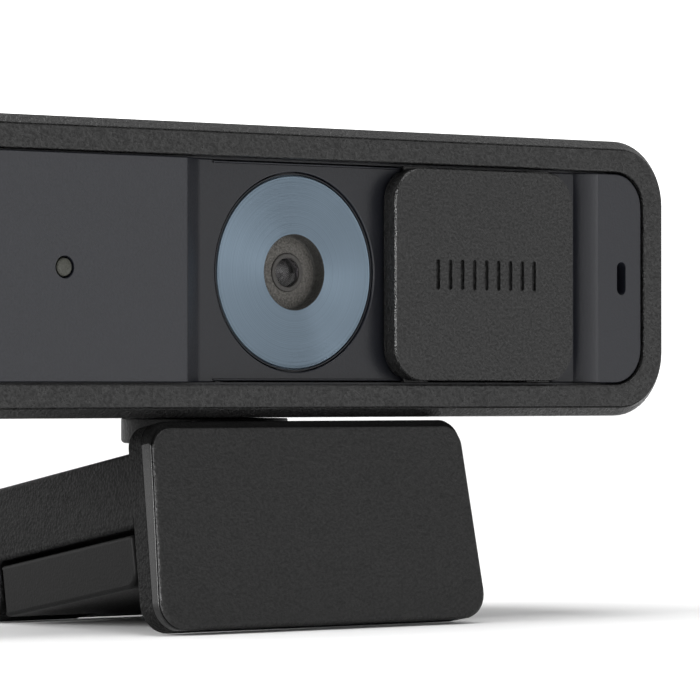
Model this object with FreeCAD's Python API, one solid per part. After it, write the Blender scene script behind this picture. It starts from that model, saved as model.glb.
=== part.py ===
import FreeCAD, Part
import os
from math import sin, cos, tan, radians, degrees, hypot, atan2, pi, sqrt

# Business webcam with a sliding lens shutter, on a folding clip mount.
# Units mm. +Z up, the lens looks towards -Y, +X is the object's length.
# Everything is drawn round the lens disc (disc face = y 0) and moved once, on export,
# so that the origin is the middle of the footprint on the surface it stands on.

os.makedirs("parts", exist_ok=True)
V = FreeCAD.Vector

# ---------------------------------------------------------------- driving dimensions
Y_OFF = -11.862         # export shift: footprint centre
Z_OFF = 22.993          # export shift: standing surface

BAR_W = 94.0            # camera bar, length
BAR_H = 28.0            # camera bar, height
BAR_R = 6.5             # corner radius of the bar's outline
ZC = 11.2               # height of the lens axis over the drawing origin
Y_FRONT = -1.9          # front face of the bezel
Y_BEVEL = -0.8          # rear edge of the bevel
BEVEL = 0.93            # rise of the bevel
Y_SEAM = 3.0            # joint line between bezel and rear housing
Y_REAR = 26.0           # rear face of the bar
REAR_R = 5.0            # rounding of the rear edges
WALL = 1.6

OPEN_X = 43.65          # half width of the bezel's opening
OPEN_Z = 10.83          # half height of the bezel's opening
OPEN_R = 3.7
LIP = 0.16              # small chamfer on the opening's front edge

PANEL_Y0 = -0.1         # channel floor
PANEL_Y1 = 1.3          # back of the panel
FLAT_Y = -1.6           # raised ends
GAP = 0.2               # gap round the raised ends
CH_L0, CH_L1 = -13.9, -11.64    # left step of the channel: top, floor
CH_R = [(35.55, -0.1), (35.91, -0.55), (36.33, -0.94), (36.79, -1.27), (37.5, -1.6), (38.03, -1.9)]   # right shoulder of the channel, from floor to top
SLOT_A, SLOT_B = 10.34, 10.70   # guide slots, distance from the axis

DISC_R = 9.54
DISC_Y0, DISC_Y1 = 0.05, 0.75
POCKET_R = 9.66
WELL_R = 3.66
WELL_IN, WELL_OUT = 1.26, 1.62   # conical floor: depth at the glass, depth at the wall
RING_R = 1.887
GLASS_R = 1.41
GLASS_Y = 1.12

CAP_X0, CAP_X1 = 10.62, 33.6   # shutter cap at rest (lens uncovered)
CAP_Z = 10.5                    # half height
CAP_R = 3.35
CAP_Y0, CAP_Y1 = -2.38, -0.95
CAP_EDGE = 0.45
SLIDE_X0, SLIDE_X1 = 12.6, 33.3
SLIDE_Z = 10.6
SLIDE_Y0, SLIDE_Y1 = -0.95, -0.28
SHUT_TRAVEL = 22.2

LED_X = -27.94
LED_R = 0.865
LED_HOLE = 1.02
MIC_X = 40.77
MIC_W, MIC_H = 1.13, 3.3

NECK_Y = 14.7
NECK_R = 8.25
NECK_Z0, NECK_Z1 = -5.42, -2.95
POST_R = 3.92
HOLE_R = 4.0
TILT_Z = -11.005
KNUCKLE_R = 2.4
KNUCKLE_X = 5.0

# clip, drawn level in its own frame and then tipped by CLIP_TILT
CLIP_TILT = 9.5
CLIP_Y, CLIP_Z = 1.38, -6.14
ARM_X = 18.8
ARM_T = 7.13
ARM_L = 28.6
JAW_F = -4.28           # front face of the jaw
JAW_TOP = 2.5
JAW_BOT = -17.238
JAW_W_TOP = 18.64
JAW_W_BOT = 19.78
TILT_LY, TILT_LZ = 13.94, -2.6
LEG_LY, LEG_LZ = 26.0, -10.1
LEG_T0, LEG_T1 = -7.6, -12.6
LEG_FRONT = 0.45
LEG_R = 2.5
EAR_R = 2.6
EAR_X = 8.3
LEG_KX = 8.0
THREAD_R = 2.55         # 1/4-20 thread, wall radius
THREAD_L = 3.7
THREAD_LY = 12.5


# ---------------------------------------------------------------- helpers
def wire(pts, radii, place):
    """closed wire through 2-D points with rounded corners; place(u, v) gives the 3-D point"""
    n = len(pts)
    segs = []
    for i in range(n):
        p, a, b = pts[i], pts[i - 1], pts[(i + 1) % n]
        r = radii[i] if isinstance(radii, (list, tuple)) else radii
        ua = (a[0] - p[0], a[1] - p[1]); la = hypot(*ua); ua = (ua[0] / la, ua[1] / la)
        ub = (b[0] - p[0], b[1] - p[1]); lb = hypot(*ub); ub = (ub[0] / lb, ub[1] / lb)
        if r <= 0:
            segs.append((p, None, p))
            continue
        cosang = ua[0] * ub[0] + ua[1] * ub[1]
        half = 0.5 * atan2(sqrt(max(0.0, 1 - cosang * cosang)), cosang)
        d = r / tan(half)
        p1 = (p[0] + ua[0] * d, p[1] + ua[1] * d)
        p2 = (p[0] + ub[0] * d, p[1] + ub[1] * d)
        bis = (ua[0] + ub[0], ua[1] + ub[1]); lbis = hypot(*bis)
        c = (p[0] + bis[0] / lbis * r / sin(half), p[1] + bis[1] / lbis * r / sin(half))
        m = (c[0] - bis[0] / lbis * r, c[1] - bis[1] / lbis * r)
        segs.append((p1, m, p2))
    edges = []
    for i in range(n):
        s = segs[i]
        if s[1] is not None:
            edges.append(Part.Arc(place(*s[0]), place(*s[1]), place(*s[2])).toShape())
        nxt = segs[(i + 1) % n]
        if hypot(s[2][0] - nxt[0][0], s[2][1] - nxt[0][1]) > 1e-6:
            edges.append(Part.makeLine(place(*s[2]), place(*nxt[0])))
    return Part.Wire(edges)


def rect(x0, x1, z0, z1, r, y):
    return wire([(x0, z0), (x1, z0), (x1, z1), (x0, z1)], r, lambda u, v: V(u, y, v))


def slab(x0, x1, z0, z1, r, y0, y1):
    """rounded rectangle in X-Z, from y0 to y1"""
    return Part.Face(rect(x0, x1, z0, z1, r, y0)).extrude(V(0, y1 - y0, 0))


def cslab(hx, hz, r, y0, y1, cx=0.0, cz=ZC):
    return slab(cx - hx, cx + hx, cz - hz, cz + hz, r, y0, y1)


def loft(*wires):
    return Part.makeLoft(list(wires), True, True)


def box(x0, x1, y0, y1, z0, z1):
    return Part.makeBox(x1 - x0, y1 - y0, z1 - z0, V(x0, y0, z0))


def rod_y(x, z, r, y0, y1):
    return Part.makeCylinder(r, y1 - y0, V(x, y0, z), V(0, 1, 0))


def rod_z(x, y, r, z0, z1):
    return Part.makeCylinder(r, z1 - z0, V(x, y, z0), V(0, 0, 1))


def rod_x(y, z, r, x0, x1):
    return Part.makeCylinder(r, x1 - x0, V(x0, y, z), V(1, 0, 0))


def prism_x(pts, x0, x1, radii=0):
    """outline in Y-Z, from x0 to x1"""
    return Part.Face(wire(pts, radii, lambda u, v: V(x0, u, v))).extrude(V(x1 - x0, 0, 0))


def prism_z(pts, z0, z1, radii=0):
    return Part.Face(wire(pts, radii, lambda u, v: V(u, v, z0))).extrude(V(0, 0, z1 - z0))


def union(first, *rest):
    s = first
    for t in rest:
        s = s.fuse(t)
    return s.removeSplitter()


def minus(first, *rest):
    s = first
    for t in rest:
        s = s.cut(t)
    return s


def rounded(shape, r, pick):
    edges = [e for e in shape.Edges if pick(e)]
    return shape.makeFillet(r, edges) if edges else shape


def lens_shape(cx, cz, r, y0, y1, bulge_front, bulge_rear):
    """turned glass element on the lens axis, with rounded front and rear faces"""
    def mid(y, b, out):
        rc = (r * r + b * b) / (2 * b)
        yc = y + out * (b - rc)
        return V(r / 2, yc + out * sqrt(rc * rc - r * r / 4), 0)
    a, b = V(0, y0 - bulge_front, 0), V(r, y0, 0)
    c, d = V(r, y1, 0), V(0, y1 + bulge_rear, 0)
    e = [Part.Arc(a, mid(y0, bulge_front, -1), b).toShape() if bulge_front else Part.makeLine(a, b),
         Part.makeLine(b, c),
         Part.Arc(c, mid(y1, bulge_rear, 1), d).toShape() if bulge_rear else Part.makeLine(c, d),
         Part.makeLine(d, a)]
    s = Part.Face(Part.Wire(e)).revolve(V(0, 0, 0), V(0, 1, 0), 360)
    s.translate(V(cx, 0, cz))
    return s


def screw_y(x, z, head_r, head_y0, head_y1, shank_r, shank_end, cross=0.32):
    """pan-head screw whose head faces the side of head_y1 that lies away from the shank"""
    lo, hi = min(head_y0, head_y1), max(head_y0, head_y1)
    s = rod_y(x, z, head_r, lo, hi)
    s = s.fuse(rod_y(x, z, shank_r, min(shank_end, lo), max(shank_end, hi)) if shank_end < lo or shank_end > hi else s)
    out = hi if shank_end < lo else lo
    depth = 0.55 * (hi - lo)
    a, b = (out - depth, out + 0.1) if out == hi else (out - 0.1, out + depth)
    k = head_r * 0.62
    s = s.cut(box(x - k, x + k, a, b, z - cross / 2, z + cross / 2))
    s = s.cut(box(x - cross / 2, x + cross / 2, a, b, z - k, z + k))
    return s.removeSplitter()


PARTS = {}


def add(name, shape, clip=False):
    s = shape.copy()
    if clip:
        s.rotate(V(0, 0, 0), V(1, 0, 0), -CLIP_TILT)
        s.translate(V(0, CLIP_Y, CLIP_Z))
    s.translate(V(0, Y_OFF, Z_OFF))
    PARTS[name] = s


# ================================================================ HEAD
hw, hh = BAR_W / 2, BAR_H / 2

# ---- front bezel: frame with a bevel all round
front = loft(rect(-hw + BEVEL, hw - BEVEL, ZC - hh + BEVEL, ZC + hh - BEVEL, BAR_R - BEVEL, Y_FRONT),
             rect(-hw, hw, ZC - hh, ZC + hh, BAR_R, Y_BEVEL))
skirt = cslab(hw, hh, BAR_R, Y_BEVEL, Y_SEAM)
bezel = union(front, skirt)
opening = cslab(OPEN_X, OPEN_Z, OPEN_R, Y_FRONT - 1, PANEL_Y0 + 1)
lip = loft(rect(-OPEN_X - LIP, OPEN_X + LIP, ZC - OPEN_Z - LIP, ZC + OPEN_Z + LIP, OPEN_R + LIP, Y_FRONT),
           rect(-OPEN_X, OPEN_X, ZC - OPEN_Z, ZC + OPEN_Z, OPEN_R, Y_FRONT + LIP))
cavity = cslab(hw - WALL, hh - WALL, BAR_R - WALL, PANEL_Y0, Y_SEAM + 1)
bezel = minus(bezel, opening, lip, cavity)
add("front_bezel", bezel)

# ---- front panel: flange behind the bezel, raised ends, channel with two guide slots
flange = cslab(hw - WALL - 0.1, hh - WALL - 0.1, BAR_R - WALL - 0.1, PANEL_Y0, PANEL_Y1)
raised = cslab(OPEN_X - GAP, OPEN_Z - GAP, OPEN_R - GAP, FLAT_Y, PANEL_Y0)
channel = prism_z([(CH_L0 - 0.15 * (CH_L1 - CH_L0), FLAT_Y - 0.15 * (PANEL_Y0 - FLAT_Y)), (CH_L1, PANEL_Y0)] + CH_R, ZC - 15, ZC + 15)
panel = union(flange, raised.cut(channel))
panel = minus(panel, rod_y(0, ZC, POCKET_R, PANEL_Y0 - 1, DISC_Y1), rod_y(0, ZC, 4.45, 0, PANEL_Y1 + 1))
for sgn in (-1, 1):
    za, zb = sorted((ZC + sgn * SLOT_A, ZC + sgn * SLOT_B))
    panel = panel.cut(box(-9.9, 32.7, PANEL_Y0 - 1, PANEL_Y1 + 1, za, zb))
    panel = panel.cut(slab(sgn * MIC_X - MIC_W / 2, sgn * MIC_X + MIC_W / 2, ZC - MIC_H / 2, ZC + MIC_H / 2, MIC_W / 2 - 0.005, FLAT_Y - 1, PANEL_Y1 + 1))
panel = panel.cut(rod_y(LED_X, ZC, LED_HOLE, FLAT_Y - 1, PANEL_Y1 + 1))
CASE = [(sx * 38.5, ZC + sz * 6.5) for sx in (-1, 1) for sz in (-1, 1)]
BOARD = [(sx * 21.0, ZC + sz * 6.8) for sx in (-1, 1) for sz in (-1, 1)]
for x, z in CASE:
    panel = panel.fuse(rod_y(x, z, 2.2, PANEL_Y1, 10.0))
for x, z in BOARD:
    panel = panel.fuse(rod_y(x, z, 1.7, PANEL_Y1, 3.3))
panel = panel.removeSplitter()
for x, z in CASE:
    panel = panel.cut(rod_y(x, z, 0.95, 3.0, 11.0))
for x, z in BOARD:
    panel = panel.cut(rod_y(x, z, 0.7, 1.4, 4.0))
add("front_panel", panel)

# ---- lens disc
disc = rod_y(0, ZC, DISC_R, DISC_Y0, DISC_Y1).cut(rod_y(0, ZC, WELL_R, DISC_Y0 - 1, DISC_Y1 + 1))
disc = disc.makeChamfer(0.12, [e for e in disc.Edges if abs(e.CenterOfMass.y - DISC_Y0) < 1e-4 and len(e.Vertexes) == 1])
add("lens_disc", disc)

# ---- lens shroud
shroud = rod_y(0, ZC, 4.4, DISC_Y1, 2.2).fuse(rod_y(0, ZC, 5.6, PANEL_Y1, 2.2))
well = rod_y(0, ZC, WELL_R, DISC_Y1 - 1, WELL_OUT).cut(Part.makeCone(1.93, WELL_R, WELL_OUT - WELL_IN, V(0, WELL_IN, ZC), V(0, 1, 0)))
shroud = minus(shroud, well, rod_y(0, ZC, 1.93, 0, 3))
add("lens_shroud", shroud.removeSplitter())

# ---- lens barrel, retainer, glass
barrel = rod_y(0, ZC, 3.0, 2.35, 7.5).fuse(rod_y(0, ZC, 1.83, 1.35, 2.35)).removeSplitter()
barrel = barrel.cut(rod_y(0, ZC, 1.5, 1.0, 8.0))
for i in range(6):
    ang = radians(60 * i)
    barrel = barrel.cut(rod_y(2.5 * cos(ang), ZC + 2.5 * sin(ang), 0.25, 2.3, 2.8))
add("lens_barrel", barrel)
ring = rod_y(0, ZC, RING_R, GLASS_Y, 1.35).cut(rod_y(0, ZC, GLASS_R, 0, 2))
ring = ring.makeChamfer(0.07, [e for e in ring.Edges if abs(e.CenterOfMass.y - GLASS_Y) < 1e-4 and len(e.Vertexes) == 1])
add("lens_retainer", ring)
glass = lens_shape(0, ZC, 1.38, 1.36, 1.4, 0.17, 0.0).fuse(rod_y(0, ZC, 1.49, 1.38, 2.3)).removeSplitter()
add("lens_front_element", glass)
add("lens_rear_element", lens_shape(0, ZC, 1.49, 4.2, 5.2, 0.35, 0.2))

# ---- camera module
fh = 4.5
focus = cslab(fh, fh, 0.5, 2.6, 9.0).cut(cslab(fh - 0.6, fh - 0.6, 0.3, 3.4, 9.5)).cut(rod_y(0, ZC, 3.05, 2, 4))
add("focus_housing", focus)
add("infrared_filter", box(-3.7, 3.7, 7.75, 8.05, ZC - 3.7, ZC + 3.7))
sensor = box(-3.0, 3.0, 8.4, 9.0, ZC - 2.5, ZC + 2.5).cut(box(-2.7, 2.7, 8.3, 8.5, ZC - 2.0, ZC + 2.0)).fuse(box(-2.6, 2.6, 8.45, 8.6, ZC - 1.9, ZC + 1.9)).removeSplitter()
add("image_sensor", sensor)
sboard = box(-7.0, 7.0, 9.0, 9.8, ZC - 7.0, ZC + 7.0).fuse(box(-5.0, 5.0, 9.8, 11.0, ZC - 5.6, ZC - 3.2))
add("sensor_board", sboard.removeSplitter())

# ---- front board with microphones and indicator
fboard = box(-43.0, 43.0, 3.3, 4.1, ZC - 9.2, ZC + 9.2).cut(box(-4.8, 4.8, 3, 5, ZC - 4.8, ZC + 4.8))
for x, z in CASE:
    fboard = fboard.cut(rod_y(x, z, 2.5, 3, 5))
for x, z in BOARD:
    fboard = fboard.cut(rod_y(x, z, 0.85, 3, 5))
add("front_board", fboard)
for name, sgn in (("left", 1), ("right", -1)):
    cx = sgn * MIC_X
    can = cslab(1.5, 2.0, 0.3, 2.2, 3.3, cx).cut(slab(cx - 0.25, cx + 0.25, ZC - 0.25, ZC + 0.25, 0.24, 2.0, 2.7))
    add("mic_capsule_" + name, can)
    gk = cslab(1.4, 2.3, 0.4, PANEL_Y1, 2.2, cx).cut(cslab(MIC_W / 2, MIC_H / 2, MIC_W / 2 - 0.005, 1, 3, cx))
    add("mic_gasket_" + name, gk)
pipe = rod_y(LED_X, ZC, LED_R, FLAT_Y - 0.03, 1.4).fuse(rod_y(LED_X, ZC, 1.5, PANEL_Y1, 1.8)).removeSplitter()
pipe = pipe.makeFillet(0.12, [e for e in pipe.Edges if abs(e.CenterOfMass.y - (FLAT_Y - 0.03)) < 1e-4 and len(e.Vertexes) == 1])
add("indicator_lens", pipe)
add("indicator_chip", box(LED_X - 0.8, LED_X + 0.8, 2.3, 3.3, ZC - 0.4, ZC + 0.4))
bs = [screw_y(x, z, 1.5, 4.1, 4.9, 0.7, 1.7) for x, z in BOARD]
add("board_screws", Part.Compound(bs))

# ---- main board, shield, inlet
mboard = box(-35.0, 35.0, 12.0, 13.2, 3.4, 21.2)
for x, y0, w, h, t in ((24, 10.8, 8, 8, 1.2), (-24, 10.8, 5, 5, 1.2), (16, 11.0, 3, 2, 1.0), (-15, 10.8, 4, 4, 1.2)):
    mboard = mboard.fuse(box(x - w / 2, x + w / 2, y0, 12.0, ZC - h / 2, ZC + h / 2))
add("main_board", mboard.removeSplitter())
can = cslab(9.5, 7.0, 0.6, 13.2, 15.4, -17.5).cut(cslab(9.2, 6.7, 0.3, 13.0, 15.1, -17.5))
add("shield_can", can)
UZ = 9.0
shell = cslab(4.47, 1.58, 1.57, 18.3, 25.6, 0, UZ).cut(cslab(4.17, 1.28, 1.27, 18.9, 26.5, 0, UZ))
add("inlet_shell", shell)
tongue = box(-3.345, 3.345, 18.9, 24.6, UZ - 0.35, UZ + 0.35).fuse(cslab(4.1, 1.2, 1.19, 18.9, 20.0, 0, UZ)).removeSplitter()
add("inlet_tongue", tongue)
add("inlet_board", box(-6.5, 6.5, 13.2, 23.6, UZ - 1.58 - 0.8, UZ - 1.58))

# ---- rear housing
outer = cslab(hw, hh, BAR_R, Y_SEAM, Y_REAR)
outer = rounded(outer, REAR_R, lambda e: abs(e.CenterOfMass.y - Y_REAR) < 1e-4)
inner = cslab(hw - WALL, hh - WALL, BAR_R - WALL, Y_SEAM - 1, Y_REAR - WALL)
inner = rounded(inner, REAR_R - WALL, lambda e: abs(e.CenterOfMass.y - (Y_REAR - WALL)) < 1e-4)
rear = outer.cut(inner)
for x, z in CASE:
    rear = rear.fuse(rod_y(x, z, 3.0, 10.0, Y_REAR - 0.4))
for x in (-30.0, 30.0):
    for z in (ZC - 6.0, ZC + 6.0):
        rear = rear.fuse(rod_y(x, z, 1.8, 13.2, Y_REAR - 0.8))
rear = rear.fuse(rod_z(0, NECK_Y, 7.6, ZC - hh, ZC - hh + WALL))
rear = rear.removeSplitter()
for x, z in CASE:
    rear = minus(rear, rod_y(x, z, 2.15, 15.0, Y_REAR + 1), rod_y(x, z, 1.1, 9.0, 16.0))
rear = rear.cut(cslab(4.75, 1.85, 1.84, 20, Y_REAR + 1, 0, UZ))
rear = rear.cut(rod_z(0, NECK_Y, HOLE_R, ZC - hh - 1, ZC - hh + WALL + 1))
rear = rear.fuse(rod_z(0, NECK_Y + 5.4, 0.6, ZC - hh + WALL - 0.1, ZC - hh + WALL + 1.0))
add("rear_housing", rear.removeSplitter())
cs = [screw_y(x, z, 1.9, 15.0, 16.4, 0.95, 5.0) for x, z in CASE]
add("case_screws", Part.Compound(cs))

# ================================================================ SHUTTER
cap_f = loft(rect(CAP_X0 + CAP_EDGE, CAP_X1 - CAP_EDGE, ZC - CAP_Z + CAP_EDGE, ZC + CAP_Z - CAP_EDGE, CAP_R - CAP_EDGE, CAP_Y0),
             rect(CAP_X0 + CAP_EDGE * 0.3, CAP_X1 - CAP_EDGE * 0.3, ZC - CAP_Z + CAP_EDGE * 0.3, ZC + CAP_Z - CAP_EDGE * 0.3, CAP_R - CAP_EDGE * 0.3, CAP_Y0 + 0.13),
             rect(CAP_X0, CAP_X1, ZC - CAP_Z, ZC + CAP_Z, CAP_R, CAP_Y0 + CAP_EDGE))
cap_b = slab(CAP_X0, CAP_X1, ZC - CAP_Z, ZC + CAP_Z, CAP_R, CAP_Y0 + CAP_EDGE, CAP_Y1)
# the leading end runs down in front of the slider, close to the channel floor
cap_s = slab(CAP_X0, CAP_X1, ZC - CAP_Z, ZC + CAP_Z, CAP_R, CAP_Y1 - 0.1, -0.43).common(box(CAP_X0 - 1, SLIDE_X0 - 0.3, CAP_Y1 - 0.2, -0.3, ZC - 15, ZC + 15))
add("shutter_cap", union(union(cap_f, cap_b), cap_s))
slider = slab(SLIDE_X0, SLIDE_X1, ZC - SLIDE_Z, ZC + SLIDE_Z, 1.0, SLIDE_Y0, SLIDE_Y1)
for sgn in (-1, 1):
    for xh in (14.5, 30.3):
        za, zb = sorted((ZC + sgn * (SLOT_A + 0.08), ZC + sgn * (SLOT_B - 0.08)))
        zc, zd = sorted((ZC + sgn * 9.2, ZC + sgn * (SLOT_B - 0.08)))
        slider = slider.fuse(box(xh - 1.5, xh + 1.5, SLIDE_Y1 - 0.1, 1.85, za, zb))
        slider = slider.fuse(box(xh - 1.5, xh + 1.5, 1.45, 1.85, zc, zd))
add("shutter_slider", slider.removeSplitter())

# ================================================================ NECK
neck = rod_z(0, NECK_Y, NECK_R, NECK_Z0, NECK_Z1)
neck = rounded(neck, 0.45, lambda e: abs(e.CenterOfMass.z - NECK_Z0) < 1e-4 and len(e.Vertexes) == 1)
neck = neck.fuse(rod_z(0, NECK_Y, POST_R, NECK_Z1 - 0.1, -0.9))
web = box(-KNUCKLE_X, KNUCKLE_X, NECK_Y - 1.9, NECK_Y + 1.9, TILT_Z, NECK_Z0 + 0.1)
neck = neck.fuse(web).fuse(rod_x(NECK_Y, TILT_Z, KNUCKLE_R, -KNUCKLE_X, KNUCKLE_X)).removeSplitter()
neck = neck.cut(rod_x(NECK_Y, TILT_Z, 1.05, -9, 9)).cut(rod_z(0, NECK_Y, 1.25, -8.2, 0))
add("swivel_neck", neck)
keeper = rod_z(0, NECK_Y, 6.5, -0.9, -0.1).cut(rod_z(0, NECK_Y, 1.35, -2, 1))
arc = rod_z(0, NECK_Y, 6.1, -2, 1).cut(rod_z(0, NECK_Y, 4.7, -3, 2))
sw = radians(53)
wedge = prism_z([(0, NECK_Y), (9 * sin(sw), NECK_Y + 9 * cos(sw)), (0, NECK_Y + 16), (-9 * sin(sw), NECK_Y + 9 * cos(sw))], -2, 1)
keeper = keeper.cut(arc.common(wedge))
add("swivel_retainer", keeper.removeSplitter())
sscrew = rod_z(0, NECK_Y, 2.3, -0.1, 1.3).fuse(rod_z(0, NECK_Y, 1.25, -7.8, 0)).removeSplitter()
sscrew = sscrew.cut(box(-1.5, 1.5, NECK_Y - 0.2, NECK_Y + 0.2, 0.6, 2)).cut(box(-0.2, 0.2, NECK_Y - 1.5, NECK_Y + 1.5, 0.6, 2))
add("swivel_screw", sscrew)


# ================================================================ CLIP (own level frame: y along the arm, z off its top)
def part_y(z):
    """parting plane between jaw cover and bracket"""
    return -2.30 - 0.0341 * (1.0 - z)


def jaw_wire(y, side, top, bottom):
    slope = (JAW_W_BOT - JAW_W_TOP) / (JAW_TOP - JAW_BOT)
    zt, zb = JAW_TOP - top, JAW_BOT + bottom
    wt = JAW_W_TOP + slope * top - side
    wb = JAW_W_BOT - slope * bottom - side
    return wire([(-wb, zb), (wb, zb), (wt, zt), (-wt, zt)], [2.6 - side, 2.6 - side, 2.2 - side, 2.2 - side], lambda u, v: V(u, y, v))


outline = Part.Face(jaw_wire(-8, 0, 0, 0)).extrude(V(0, 16, 0))
shell_yz = prism_x([(part_y(JAW_TOP), JAW_TOP), (part_y(JAW_BOT), JAW_BOT), (-0.9, JAW_BOT), (-0.02, -ARM_T), (-0.02, JAW_TOP)], -25, 25)
jaw_back = outline.common(shell_yz)
jaw_back = rounded(jaw_back, 0.3, lambda e: abs(e.CenterOfMass.y + 0.02) < 0.03 and e.CenterOfMass.z > 0.3)
arm = box(-ARM_X, ARM_X, part_y(-3.0) + 0.3, ARM_L, -ARM_T, 0)
arm = rounded(arm, 0.4, lambda e: abs(abs(e.CenterOfMass.x) - ARM_X) < 1e-4 and abs(e.CenterOfMass.y - (part_y(-3.0) + 0.3 + ARM_L) / 2) < 1e-3)
ears = prism_x([(LEG_LY - EAR_R, -ARM_T + 1.0), (LEG_LY - EAR_R, LEG_LZ - EAR_R), (LEG_LY + EAR_R, LEG_LZ - EAR_R), (LEG_LY + EAR_R, -ARM_T + 1.0)], -ARM_X, ARM_X, [0, EAR_R - 0.01, EAR_R - 0.01, 0])
arm = arm.fuse(ears).removeSplitter()
arm = arm.cut(box(-EAR_X, EAR_X, LEG_LY - EAR_R - 0.5, LEG_LY + EAR_R + 1, LEG_LZ - EAR_R - 1, -ARM_T))
endcut = prism_x([(ARM_L - 1.6, 1), (ARM_L + 1, 1), (ARM_L + 1, -1.6), (ARM_L, -1.6)], -25, 25)
roundy = rod_x(ARM_L - 1.6, -1.6, 1.6, -25, 25)
corner = box(-25, 25, ARM_L - 1.6, ARM_L + 1, -1.6, 1).cut(roundy)
arm = arm.cut(corner)
bracket = jaw_back.fuse(arm).removeSplitter()
# pocket for the tilt knuckle, pin hole, pad pockets, leg pin hole
bracket = bracket.cut(box(-5.3, 5.3, TILT_LY - 2.95, TILT_LY + 3.3, TILT_LZ - 2.7, 2))
bracket = bracket.cut(rod_x(TILT_LY, TILT_LZ, 1.0, -9.0, 20))
bracket = bracket.cut(prism_z([(-15, 2.0), (15, 2.0), (15, 22.3), (-15, 22.3)], -ARM_T - 1, -ARM_T + 0.7, 1.5))
bracket = bracket.cut(rod_x(LEG_LY, LEG_LZ, 1.2, -25, 25))


def jaw_rear(z):
    return -0.02 - 0.88 * (-ARM_T - z) / (-ARM_T - JAW_BOT)


PZ0, PZ1 = -16.0, -8.0
pocket = prism_x([(jaw_rear(PZ0) - 0.8, PZ0), (jaw_rear(PZ0) + 1, PZ0), (jaw_rear(PZ1) + 1, PZ1), (jaw_rear(PZ1) - 0.8, PZ1)], -15, 15)
bracket = bracket.cut(pocket)
for x in (-9.0, 9.0):
    bracket = minus(bracket, rod_y(x, -12.0, 1.45, -1.95, 0), rod_y(x, -12.0, 0.62, -4, 0))
add("clip_bracket", bracket.removeSplitter(), True)

cover_f = loft(jaw_wire(JAW_F, 0.3, 0.95, 0.4), jaw_wire(JAW_F + 0.1, 0.1, 0.5, 0.2), jaw_wire(JAW_F + 0.4, 0.0, 0.0, 0.0))
cover_b = Part.Face(jaw_wire(JAW_F + 0.4, 0, 0, 0)).extrude(V(0, 3, 0))
cover_b = cover_b.common(prism_x([(JAW_F, 5), (JAW_F, -20), (part_y(-20), -20), (part_y(5), 5)], -25, 25))
cover = union(cover_f, cover_b)
for x in (-9.0, 9.0):
    cover = cover.cut(rod_y(x, -12.0, 0.6, -3.75, 0))
add("jaw_cover", cover, True)

za, zb = PZ0 + 0.02, PZ1 - 0.02
jpad = prism_x([(jaw_rear(za) - 0.79, za), (jaw_rear(za) + 0.1, za), (jaw_rear(zb) + 0.1, zb), (jaw_rear(zb) - 0.79, zb)], -14.98, 14.98)
add("jaw_pad", jpad, True)
apad = prism_z([(-14.98, 2.02), (14.98, 2.02), (14.98, 22.28), (-14.98, 22.28)], -ARM_T - 0.04, -ARM_T + 0.7, 1.5)
add("arm_pad", apad, True)
cv = [screw_y(x, -12.0, 1.35, -1.95, -1.45, 0.6, -3.7, 0.25) for x in (-9.0, 9.0)]
add("cover_screws", Part.Compound(cv), True)
tpin = rod_x(TILT_LY, TILT_LZ, 1.0, -9.0, 18.4)
tpin = tpin.makeChamfer(0.2, [e for e in tpin.Edges if abs(e.CenterOfMass.x - 18.4) < 1e-4 and len(e.Vertexes) == 1])
add("tilt_pin", tpin, True)
tw = [rod_x(TILT_LY, TILT_LZ, 2.3, x0, x0 + 0.2).cut(rod_x(TILT_LY, TILT_LZ, 1.05, x0 - 1, x0 + 1)) for x0 in (5.05, -5.25)]
add("tilt_washers", Part.Compound(tw), True)
lpin = rod_x(LEG_LY, LEG_LZ, 1.2, -18.5, 18.5)
lpin = lpin.makeChamfer(0.2, [e for e in lpin.Edges if abs(abs(e.CenterOfMass.x) - 18.5) < 1e-4 and len(e.Vertexes) == 1])
add("leg_pin", lpin, True)
lw = [rod_x(LEG_LY, LEG_LZ, 2.3, x0, x0 + 0.2).cut(rod_x(LEG_LY, LEG_LZ, 1.25, x0 - 1, x0 + 1)) for x0 in (8.05, -8.25)]
add("leg_washers", Part.Compound(lw), True)

# ================================================================ LEG
body = prism_x([(LEG_FRONT, LEG_T0), (LEG_FRONT, LEG_T1), (LEG_LY - EAR_R - 0.4, LEG_T1), (LEG_LY - EAR_R - 0.4, LEG_T0)], -ARM_X, ARM_X, [0.4, 1.6, 0.3, 0.3])
mid = prism_x([(LEG_LY - EAR_R - 2.0, LEG_T0), (LEG_LY - EAR_R - 2.0, LEG_T1), (LEG_LY + LEG_R, LEG_T1), (LEG_LY + LEG_R, LEG_T0)], -LEG_KX, LEG_KX, [0, 0, LEG_R - 0.005, LEG_R - 0.005])
leg = union(body, mid)
leg = leg.cut(rod_x(LEG_LY, LEG_LZ, 1.25, -10, 10))
leg = leg.cut(prism_z([(-15, 2.6), (15, 2.6), (15, 21.4), (-15, 21.4)], LEG_T0 - 0.7, 0, 1.5))
leg = leg.cut(Part.makeCylinder(4.0, THREAD_L, V(0, THREAD_LY, LEG_T1), V(0, 0, 1)))
add("folding_leg", leg, True)
lpad = prism_z([(-14.98, 2.62), (14.98, 2.62), (14.98, 21.38), (-14.98, 21.38)], LEG_T0 - 0.7, LEG_T0 + 0.1, 1.5)
add("leg_pad", lpad, True)
ins = Part.makeCylinder(4.0, THREAD_L, V(0, THREAD_LY, LEG_T1), V(0, 0, 1)).cut(Part.makeCylinder(THREAD_R, THREAD_L + 2, V(0, THREAD_LY, LEG_T1 - 1), V(0, 0, 1)))
add("threaded_insert", ins, True)

# ---------------------------------------------------------------- export
for name, s in PARTS.items():
    s.exportStep("parts/" + name + ".step")
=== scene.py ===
import bpy, bmesh
from math import sin, cos, tan, radians, pi, sqrt, hypot, atan2
from mathutils import Vector, Matrix


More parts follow.
